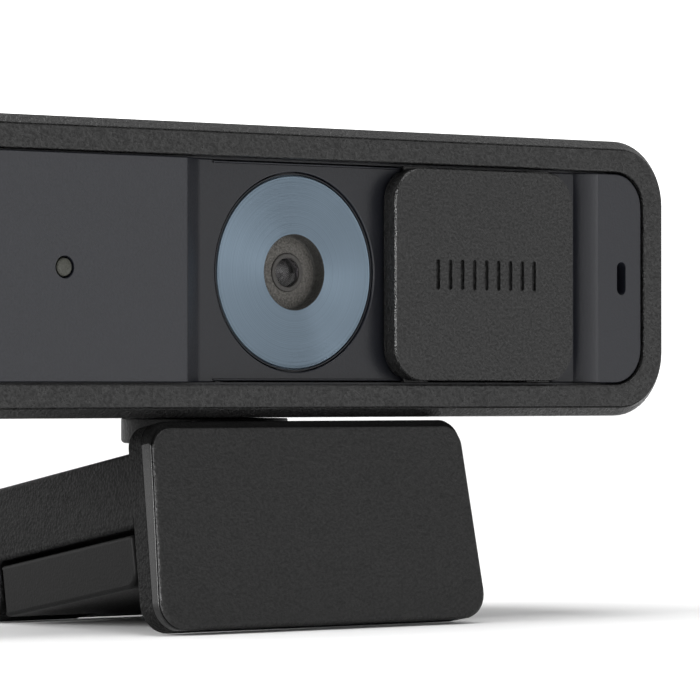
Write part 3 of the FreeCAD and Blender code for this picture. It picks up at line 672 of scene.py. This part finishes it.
pr = [(0.0, 3.85)] + [(1.49 * i / 10, 3.85 + 0.35 * (i / 10) ** 2) for i in range(1, 11)] + [(1.49, 5.2)] + [(1.49 * i / 10, 5.4 - 0.2 * (i / 10) ** 2) for i in range(9, -1, -1)]
lathe(bm, pr, axis_y(0, ZC), 64)
new_obj("lens_rear_glass", bm, M["glass_rear"], "head", ("lens_rear_element",), 50, weighted=False)
# baffled bore behind the front glass
bm = bmesh.new()
pr = [(1.82, 1.37), (1.52, 1.37), (1.52, 2.35), (1.30, 2.40), (1.30, 2.55), (1.48, 2.60), (1.15, 2.85), (1.15, 2.95), (1.46, 3.0), (1.02, 3.3), (1.02, 3.4), (1.5, 3.5), (1.5, 7.5), (3.0, 7.5), (3.0, 2.45), (2.9, 2.36), (1.83, 2.35)]
lathe(bm, pr, axis_y(0, ZC), 64, closed=True)
new_obj("lens_barrel_body", bm, M["barrel"], "head", ("lens_barrel",), 30, weighted=False)

# ------------------------------------------------------------------ HEAD: indicator lens
bm = bmesh.new()
pr = [(0.0, -1.64), (0.2, -1.636), (0.4, -1.622), (0.58, -1.598), (0.72, -1.56), (0.81, -1.51), (0.855, -1.44), (0.865, -1.36), (0.865, 1.3), (1.5, 1.3), (1.5, 1.8), (0, 1.8)]
lathe(bm, pr, axis_y(-27.94, ZC), 40)
new_obj("indicator_lens_body", bm, M["led"], "head", ("indicator_lens",), 40, weighted=False)

# ------------------------------------------------------------------ HEAD: rear housing
bm = bmesh.new()
RR = 5.0
back = crect(HW - RR, HH - RR, BR - RR, n=12)
CASE = [(sx * 38.5, ZC + sz * 6.5) for sx in (-1, 1) for sz in (-1, 1)]
wells = [circle(x, z, 2.15 + 0.15, 32) for x, z in CASE]
inlet = crect(4.75 + 0.2, 1.85 + 0.2, 1.84 + 0.2, 0, 9.0, 10)
pl = Plate(bm, back, wells + [inlet], P, 26.0)
nf = 12
pl.grow(0, [(RR * sin(pi / 2 * i / nf), 26.0 - RR * (1 - cos(pi / 2 * i / nf))) for i in range(1, nf + 1)] + [(RR, 3.07), (RR - 0.07, 3.0), (RR - 1.6, 3.0), (RR - 1.6, 24.4)])
pl.close()
for k in range(1, 5):
    pl.grow(k, [(-0.07, 25.98), (-0.13, 25.93), (-0.15, 25.85), (-0.15, 15.0)])
    pl.close()
pl.grow(5, [(-0.1, 25.97), (-0.17, 25.91), (-0.2, 25.8), (-0.2, 20.0)])
pl.close()
zhole = lambda r, a, t: P(r * cos(t), 14.7 + r * sin(t), a)
new_obj("rear_housing_body", bm, M["housing"], "head", ("rear_housing",), 32, cuts=[cyl(zhole, 4.0, -4.0, -0.6, 48)])

# ------------------------------------------------------------------ SHUTTER: cap with grip grooves, slider
bm = bmesh.new()
E = 0.17
capl = rrect(10.62 + E, 33.6 - E, ZC - 10.47 + E, ZC + 10.42 - E, 3.35 - E, n=14)
grips = [rrect(22.2 + (i - 4) * 1.55 - 0.30, 22.2 + (i - 4) * 1.55 + 0.30, ZC - 1.55, ZC + 1.55, 0.295, 4) for i in range(9)]
pl = Plate(bm, capl, grips, P, -2.38)
st = [(0.025, -2.376), (0.05, -2.356), (0.14, -2.20), (0.16, -2.145), (0.17, -2.08)]
nf = pl.grow(0, st + [(E, -0.97), (E - 0.02, -0.95)])
nr = len(pl.rims[0])
for f in nf[nr:4 * nr]:
    f.material_index = 1
pl.close()
arc = [(3.35 - sqrt(max(0.0, 3.35 ** 2 - (3.35 - q) ** 2)), q) for q in (1.68, 1.2, 0.85, 0.55, 0.3, 0.12, 0.0)]
lead = [(12.3, ZC - 10.47 + arc[0][0])] + [(12.3, ZC + 10.42 - arc[0][0])] + [(10.62 + q, ZC + 10.42 - d) for d, q in arc[1:]] + [(10.62 + q, ZC - 10.47 + d) for d, q in arc[:0:-1]]
lead = outline(lead, 0.0, 2)
lp = Plate(bm, lead, [], P, -0.96)
lp.grow(0, [(0.0, -0.50), (-0.03, -0.45), (-0.07, -0.43)])
lp.close()
for k in range(1, 10):
    pl.grow(k, [(-0.03, -2.37), (-0.055, -2.34), (-0.07, -2.30), (-0.10, -2.06), (-0.16, -2.0)])
    pl.close()
new_obj("shutter_cap_body", bm, [M["cap"], M["rim"]], "shutter", ("shutter_cap",), 16, weld=0)
bm = bmesh.new()
sl = rrect(12.6 + 0.06, 33.3 - 0.06, ZC - 10.45 + 0.06, ZC + 10.40 - 0.06, 1.0, n=6)
pl = Plate(bm, sl, [], P, -0.95)
pl.grow(0, [(0.035, -0.94), (0.06, -0.90), (0.06, -0.31), (0.03, -0.28)])
pl.close()
for sgn in (-1, 1):
    for xh in (14.5, 30.3):
        za, zb = sorted((ZC + sgn * 10.48, ZC + sgn * 10.61))
        zc, zd = sorted((ZC + sgn * 9.2, ZC + sgn * 10.61))
        for (x0, x1, y0, y1, z0, z1) in ((xh - 1.5, xh + 1.5, -0.66, 1.85, za, zb), (xh - 1.5, xh + 1.5, 1.45, 1.85, zc, zd), (xh - 1.5, xh + 1.5, -0.74, -0.44, *sorted((ZC + sgn * 10.2, ZC + sgn * 10.61)))):
            prism(bm, rrect(x0, x1, z0, z1, 0.06, 2), y0, y1, 0.04, 0.04, lambda y, u, v: P(u, y, v), 2)
new_obj("shutter_slider_body", bm, M["slider"], "shutter", ("shutter_slider",), 34, weld=0)

# ------------------------------------------------------------------ NECK
bm = bmesh.new()
NY = 14.7
az = lambda r, a, t: P(r * cos(t), NY + r * sin(t), a)
pr = [(0, -5.42), (7.8, -5.42), (7.95, -5.40), (8.09, -5.33), (8.19, -5.22), (8.25, -5.08), (8.25, -3.08), (8.22, -3.0), (8.15, -2.95), (3.98, -2.95), (3.92, -2.90), (3.92, -0.9), (0, -0.9)]
lathe(bm, pr, az, 96)
web = outline([(NY - 2.4, -11.005 - 2.4), (NY + 2.4, -11.005 - 2.4), (NY + 2.4, -9.6), (NY + 1.9, -8.9), (NY + 1.9, -5.3), (NY - 1.9, -5.3), (NY - 1.9, -8.9), (NY - 2.4, -9.6)],
              [2.38, 2.38, 0.3, 0.3, 0, 0, 0.3, 0.3], 10)
prism(bm, web, -5.0, 5.0, 0.25, 0.25, lambda x, u, v: P(x, u, v), 3)
new_obj("swivel_neck_body", bm, M["neck"], "neck", ("swivel_neck",), 36, weld=0)

# ------------------------------------------------------------------ CLIP: jaw cover
ARM_T, ARM_L, ARM_X = 7.13, 28.6, 18.8


def part_y(z):
    return -2.30 - 0.0341 * (1.0 - z)


def jaw_rear(u, z):
    return -0.02 if z > -ARM_T else -0.02 - 0.88 * (-ARM_T - z) / (-ARM_T + 17.238)


def jaw_loop(d, n=8):
    return offset(outline([(-19.78, -17.238), (19.78, -17.238), (18.64, 2.5), (-18.64, 2.5)], [2.6, 2.6, 2.2, 2.2], n), -d)


def jaw_ring(side, top, bottom, n=8):
    """outline of the jaw drawn in by different amounts at its sides, top and bottom"""
    sl = (19.78 - 18.64) / (2.5 + 17.238)
    return outline([(-(19.78 - sl * bottom - side), -17.238 + bottom), (19.78 - sl * bottom - side, -17.238 + bottom),
                    (18.64 + sl * top - side, 2.5 - top), (-(18.64 + sl * top - side), 2.5 - top)], [2.6 - side, 2.6 - side, 2.2 - side, 2.2 - side], n)


bm = bmesh.new()
F = 0.5
Plate(bm, jaw_ring(0.5, 0.95, 0.5), [], C, -4.28)
rings = [(0.5, 0.95, 0.5, -4.28), (0.40, 0.885, 0.40, -4.272), (0.30, 0.83, 0.30, -4.245), (0.20, 0.78, 0.20, -4.19), (0.12, 0.74, 0.12, -4.10),
         (0.07, 0.70, 0.07, -4.02), (0.06, 0.62, 0.06, -3.97), (0.30, 0.58, 0.30, -3.95), (0.30, 0.48, 0.30, -3.84), (0.04, 0.30, 0.04, -3.80), (0.0, 0.16, 0.0, -3.74),
         (0.0, 0.02, 0.0, -3.50), (0.0, 0.0, 0.0, -3.20)]
vr = []
for a, t, b, y in rings:
    vr.append([bm.verts.new(C(u, y, v)) for u, v, _, _ in jaw_ring(a, t, b)])
for d, k in ((0.0, -0.05), (0.045, 0.0)):
    vr.append([bm.verts.new(C(u, part_y(v) + k, v)) for u, v, _, _ in jaw_ring(d, d, d)])
for i, (A, B) in enumerate(zip(vr, vr[1:])):
    for a in range(len(A)):
        b = (a + 1) % len(A)
        f = bm.faces.new((A[a], A[b], B[b], B[a]))
        # faces of the top band, from ring 4 on, take the painted-shade material; ring 6 on elsewhere takes the smooth
        # stripe material
        top = (A[a].co + A[b].co).z / 2 > C(0, -3.7, 0.15).z
        f.material_index = 2 if (top and i >= 4) else 1 if i >= 6 else 0
Plate(bm, jaw_ring(0.045, 0.045, 0.045), [], C, lambda u, v: part_y(v))
new_obj("jaw_cover_body", bm, [M["cover"], M["smooth"], M["shade"]], "clip", ("jaw_cover",), 40)

# ------------------------------------------------------------------ CLIP: bracket (rear half of the jaw, arm, ears)
bm = bmesh.new()
J = 0.3
pl = Plate(bm, jaw_loop(0.05), [], C, lambda u, v: part_y(v) + 0.01)
pl.grow(0, [(0.05, lambda u, v: part_y(v) + 0.06), (0.05, lambda u, v: jaw_rear(u, v) - J)] +
        [(0.05 - J + J * cos(pi / 2 * i / 3), (lambda s: (lambda u, v: jaw_rear(u, v) - J + s))(J * sin(pi / 2 * i / 3))) for i in range(1, 4)])
pad_l = rrect(-15.0, 15.0, -16.0, -8.0, 0.8, 4)
rp = Plate(bm, jaw_loop(J), [pad_l], C, jaw_rear, vs=[-ARM_T])
rp.grow(1, [(0.0, lambda u, v: jaw_rear(u, v) - 0.8)])
rp.close()
CX = lambda x, u, v: C(x, u, v)
plain = [(-2.0, -ARM_T), (ARM_L, -ARM_T), (ARM_L, 0.0), (-2.0, 0.0)]
ears = [(-2.0, -ARM_T), (23.4, -ARM_T), (23.4, -12.7), (28.6, -12.7), (ARM_L, 0.0), (-2.0, 0.0)]
notch = [(-2.0, -ARM_T), (ARM_L, -ARM_T), (ARM_L, 0.0), (17.24, 0.0), (17.24, -5.3), (10.99, -5.3), (10.99, 0.0), (-2.0, 0.0)]
L_ears = outline(ears, [0, 0.5, 2.58, 2.58, 1.6, 0], 8)
L_plain = outline(plain, [0, 0.3, 1.6, 0], 8)
L_notch = outline(notch, [0, 0.3, 1.6, 0.15, 0.3, 0.3, 0.15, 0], 6)
A = 0.45
prism(bm, L_ears, -ARM_X, -8.3, A, 0.0, CX, 4)
prism(bm, L_ears, 8.3, ARM_X, 0.0, A, CX, 4)
prism(bm, L_plain, -8.3, -5.3, 0.0, 0.0, CX)
prism(bm, L_plain, 5.3, 8.3, 0.0, 0.0, CX)
prism(bm, L_notch, -5.3, 5.3, 0.0, 0.0, CX)
new_obj("clip_bracket_body", bm, M["clip"], "clip", ("clip_bracket",), 36, weld=0)

# pads: soft rubber with rounded rims
bm = bmesh.new()
prism(bm, rrect(-14.9, 14.9, 2.1, 22.2, 1.4, 6), -ARM_T - 0.04, -ARM_T + 0.6, 0.12, 0.0, lambda z, u, v: C(u, v, z), 3)
new_obj("arm_pad_body", bm, M["rubber"], "clip", ("arm_pad",), 36)
bm = bmesh.new()
pl = Plate(bm, rrect(-14.98 + 0.15, 14.98 - 0.15, -16.0 + 0.17, -8.0 - 0.17, 0.6, 4), [], C, lambda u, v: jaw_rear(u, v) + 0.09)
pl.grow(0, [(0.08, lambda u, v: jaw_rear(u, v) + 0.07), (0.14, lambda u, v: jaw_rear(u, v)), (0.14, lambda u, v: jaw_rear(u, v) - 0.75)])
pl.close()
new_obj("jaw_pad_body", bm, M["rubber"], "clip", ("jaw_pad",), 36)

# ------------------------------------------------------------------ LEG
bm = bmesh.new()
LY0, LY1 = 0.45, 26.0 - 2.6 - 0.4
body = outline([(LY0, -12.6), (LY1, -12.6), (LY1, -7.6), (LY0, -7.6)], [1.6, 0.3, 0.3, 0.45], 8)
mid = outline([(LY0, -12.6), (28.5, -12.6), (28.5, -7.6), (LY0, -7.6)], [1.6, 2.48, 2.48, 0.45], 10)
prism(bm, body, -ARM_X, -8.0, 0.4, 0.0, CX, 4)
prism(bm, body, 8.0, ARM_X, 0.0, 0.4, CX, 4)
prism(bm, mid, -8.0, 8.0, 0.0, 0.0, CX)
bmc = bmesh.new()
lathe(bmc, [(0, -14.0), (4.0, -14.0), (4.0, -12.6 + 3.7), (0, -12.6 + 3.7)], lambda r, a, t: C(r * cos(t), 12.5 + r * sin(t), a), 48)
new_obj("folding_leg_body", bm, M["leg"], "leg", ("folding_leg",), 36, weld=0, cuts=[bmc])
bm = bmesh.new()
prism(bm, rrect(-14.9, 14.9, 2.7, 21.3, 1.4, 6), -7.6 + 0.02, -8.2, 0.1, 0.0, lambda z, u, v: C(u, v, z), 3)
new_obj("leg_pad_body", bm, M["rubber"], "leg", ("leg_pad",), 36)
# insert with a real thread in its bore
bm = bmesh.new()
TL, TP = 3.7, 1.27
place_t = lambda r, a, t: C(r * cos(t), 12.5 + r * sin(t), a)
prr = [(2.62, -12.6 + TL), (3.98, -12.6 + TL), (3.98, -12.55), (3.92, -12.6), (3.3, -12.6), (3.1, -12.5), (2.62, -12.1)]
lathe(bm, prr, place_t, 64, closed=True)
nt_, turns = 36, 2.6
prev = None
for i in range(int(nt_ * turns) + 1):
    t = 2 * pi * i / nt_
    a = -12.3 + TP * i / nt_ * 0.95
    ring = [bm.verts.new(place_t(rr_, a + da, t)) for rr_, da in ((2.66, -0.5), (2.56, -0.08), (2.56, 0.08), (2.66, 0.5))]
    if prev:
        for q in range(4):
            bm.faces.new((prev[q], prev[(q + 1) % 4], ring[(q + 1) % 4], ring[q]))
    else:
        bm.faces.new(ring)
    prev = ring
bm.faces.new(prev)
new_obj("threaded_insert_body", bm, M["brass"], "leg", ("threaded_insert",), 36, weld=0)

for n, k in {
    "focus_housing": "inner", "infrared_filter": "filter", "image_sensor": "sensor", "sensor_board": "board",
    "front_board": "board", "mic_capsule_left": "steel", "mic_capsule_right": "steel", "mic_gasket_left": "rubber", "mic_gasket_right": "rubber",
    "indicator_chip": "chip", "main_board": "board", "shield_can": "steel", "inlet_shell": "steel",
    "inlet_tongue": "chip", "inlet_board": "board", "case_screws": "screw", "board_screws": "screw", "swivel_retainer": "steel",
    "swivel_screw": "screw", "cover_screws": "screw", "tilt_pin": "steel", "tilt_washers": "steel",
    "leg_pin": "steel", "leg_washers": "steel",
}.items():
    carry(n, M[k])

# ------------------------------------------------------------------ floor, light, camera
bm = bmesh.new()
bmesh.ops.create_grid(bm, x_segments=1, y_segments=1, size=6.0)
me = bpy.data.meshes.new("floor")
bm.to_mesh(me)
bm.free()
floor = bpy.data.objects.new("floor", me)
floor.location = (0, 0, -0.00005)
scene.collection.objects.link(floor)
fm, nt, b = new_mat("floor_pale")
fn = noise_tex(nt, coords(nt), 30.0, 2.0, 0.5)
fr = ramp(nt, fn.outputs["Fac"], [(0.3, (0.86, 0.86, 0.86)), (0.7, (0.88, 0.88, 0.88))])
nt.links.new(fr.outputs[0], b.inputs["Base Color"])
nt.links.new(maprange(nt, fn.outputs["Fac"], 0.3, 0.7, 0.85, 0.95), b.inputs["Roughness"])
b.inputs["Specular IOR Level"].default_value = 0.1
set_mat(floor, fm)

WORLD_BASE = 0.20
WORLD = [((0.242, -0.970, 0.03), 0.829, 0.966, 1.25), ((0, -1, 0.05), 0.50, 1.0, 0.80), ((0.80, 0.0, 0.60), 0.78, 1.0, 0.75), ((-0.45, 0.9, 0.0), 0.1, 0.8, 1.75), ((0.616, 0.788, 0.0), 0.90, 0.99, 0.80)]
world = bpy.data.worlds.new("studio")
scene.world = world
world.use_nodes = True
wt = world.node_tree
wt.nodes.clear()
wo = wt.nodes.new("ShaderNodeOutputWorld")
bg = wt.nodes.new("ShaderNodeBackground")
tc = wt.nodes.new("ShaderNodeTexCoord")
sq = wt.nodes.new("ShaderNodeVectorMath")
sq.operation = "MULTIPLY"
sq.inputs[1].default_value = (1.0, 1.0, 1.5)
wt.links.new(tc.outputs["Generated"], sq.inputs[0])
nz = wt.nodes.new("ShaderNodeVectorMath")
nz.operation = "NORMALIZE"
wt.links.new(sq.outputs[0], nz.inputs[0])
total = None
for axis, a0, a1, gain in WORLD:
    dt = wt.nodes.new("ShaderNodeVectorMath")
    dt.operation = "DOT_PRODUCT"
    wt.links.new(nz.outputs[0], dt.inputs[0])
    dt.inputs[1].default_value = Vector(axis).normalized()
    mr = wt.nodes.new("ShaderNodeMapRange")
    mr.interpolation_type = "SMOOTHSTEP"
    mr.inputs[1].default_value, mr.inputs[2].default_value = a0, a1
    mr.inputs[3].default_value, mr.inputs[4].default_value = 0.0, gain
    wt.links.new(dt.outputs["Value"], mr.inputs[0])
    if total is None:
        total = mr.outputs[0]
    else:
        ad = wt.nodes.new("ShaderNodeMath")
        ad.operation = "ADD"
        wt.links.new(total, ad.inputs[0])
        wt.links.new(mr.outputs[0], ad.inputs[1])
        total = ad.outputs[0]
ad = wt.nodes.new("ShaderNodeMath")
ad.operation = "ADD"
ad.inputs[1].default_value = WORLD_BASE
wt.links.new(total, ad.inputs[0])
wt.links.new(ad.outputs[0], bg.inputs["Strength"])
bg.inputs["Color"].default_value = (1, 1, 1, 1)
wt.links.new(bg.outputs[0], wo.inputs[0])


def area(name, loc, target, size, power, size_y=None, spread=None):
    d = bpy.data.lights.new(name, "AREA")
    d.shape = "RECTANGLE"
    d.size, d.size_y = size, size_y or size
    d.energy = power
    if spread:
        d.spread = radians(spread)
    o = bpy.data.objects.new(name, d)
    scene.collection.objects.link(o)
    o.location = loc
    o.rotation_mode = "QUATERNION"
    o.rotation_quaternion = (Vector(target) - Vector(loc)).to_track_quat("-Z", "Y")
    return o


area("edge", (-0.70, 0.02, 0.10), (0, 0, 0.03), 0.22, 9.0, 0.35)
sun_d = bpy.data.lights.new("overhead", "SUN")
sun_d.energy, sun_d.angle = 2.0, radians(45)
sun = bpy.data.objects.new("overhead", sun_d)
scene.collection.objects.link(sun)

cam_d = bpy.data.cameras.new("camera")
cam = bpy.data.objects.new("camera", cam_d)
scene.collection.objects.link(cam)
scene.camera = cam
F_PX, TH, DIST, T0, Y_H = 4366.56, radians(38.249), 421.165, -5.33, 388.313
cs, sn = cos(TH), sin(TH)
cam.location = P(-cs * T0 - sn * DIST, sn * T0 - cs * DIST, 0.0)
pitch = atan2(Y_H - 350.0, F_PX)
fwd = Vector((sn * cos(pitch), cs * cos(pitch), sin(pitch)))
cam.rotation_mode = "QUATERNION"
cam.rotation_quaternion = fwd.to_track_quat("-Z", "Y")
cam_d.sensor_width = 36.0
cam_d.lens = F_PX / 700.0 * 36.0
cam_d.clip_start, cam_d.clip_end = 0.02, 50.0

scene.view_settings.view_transform = "Standard"
scene.view_settings.look = "None"
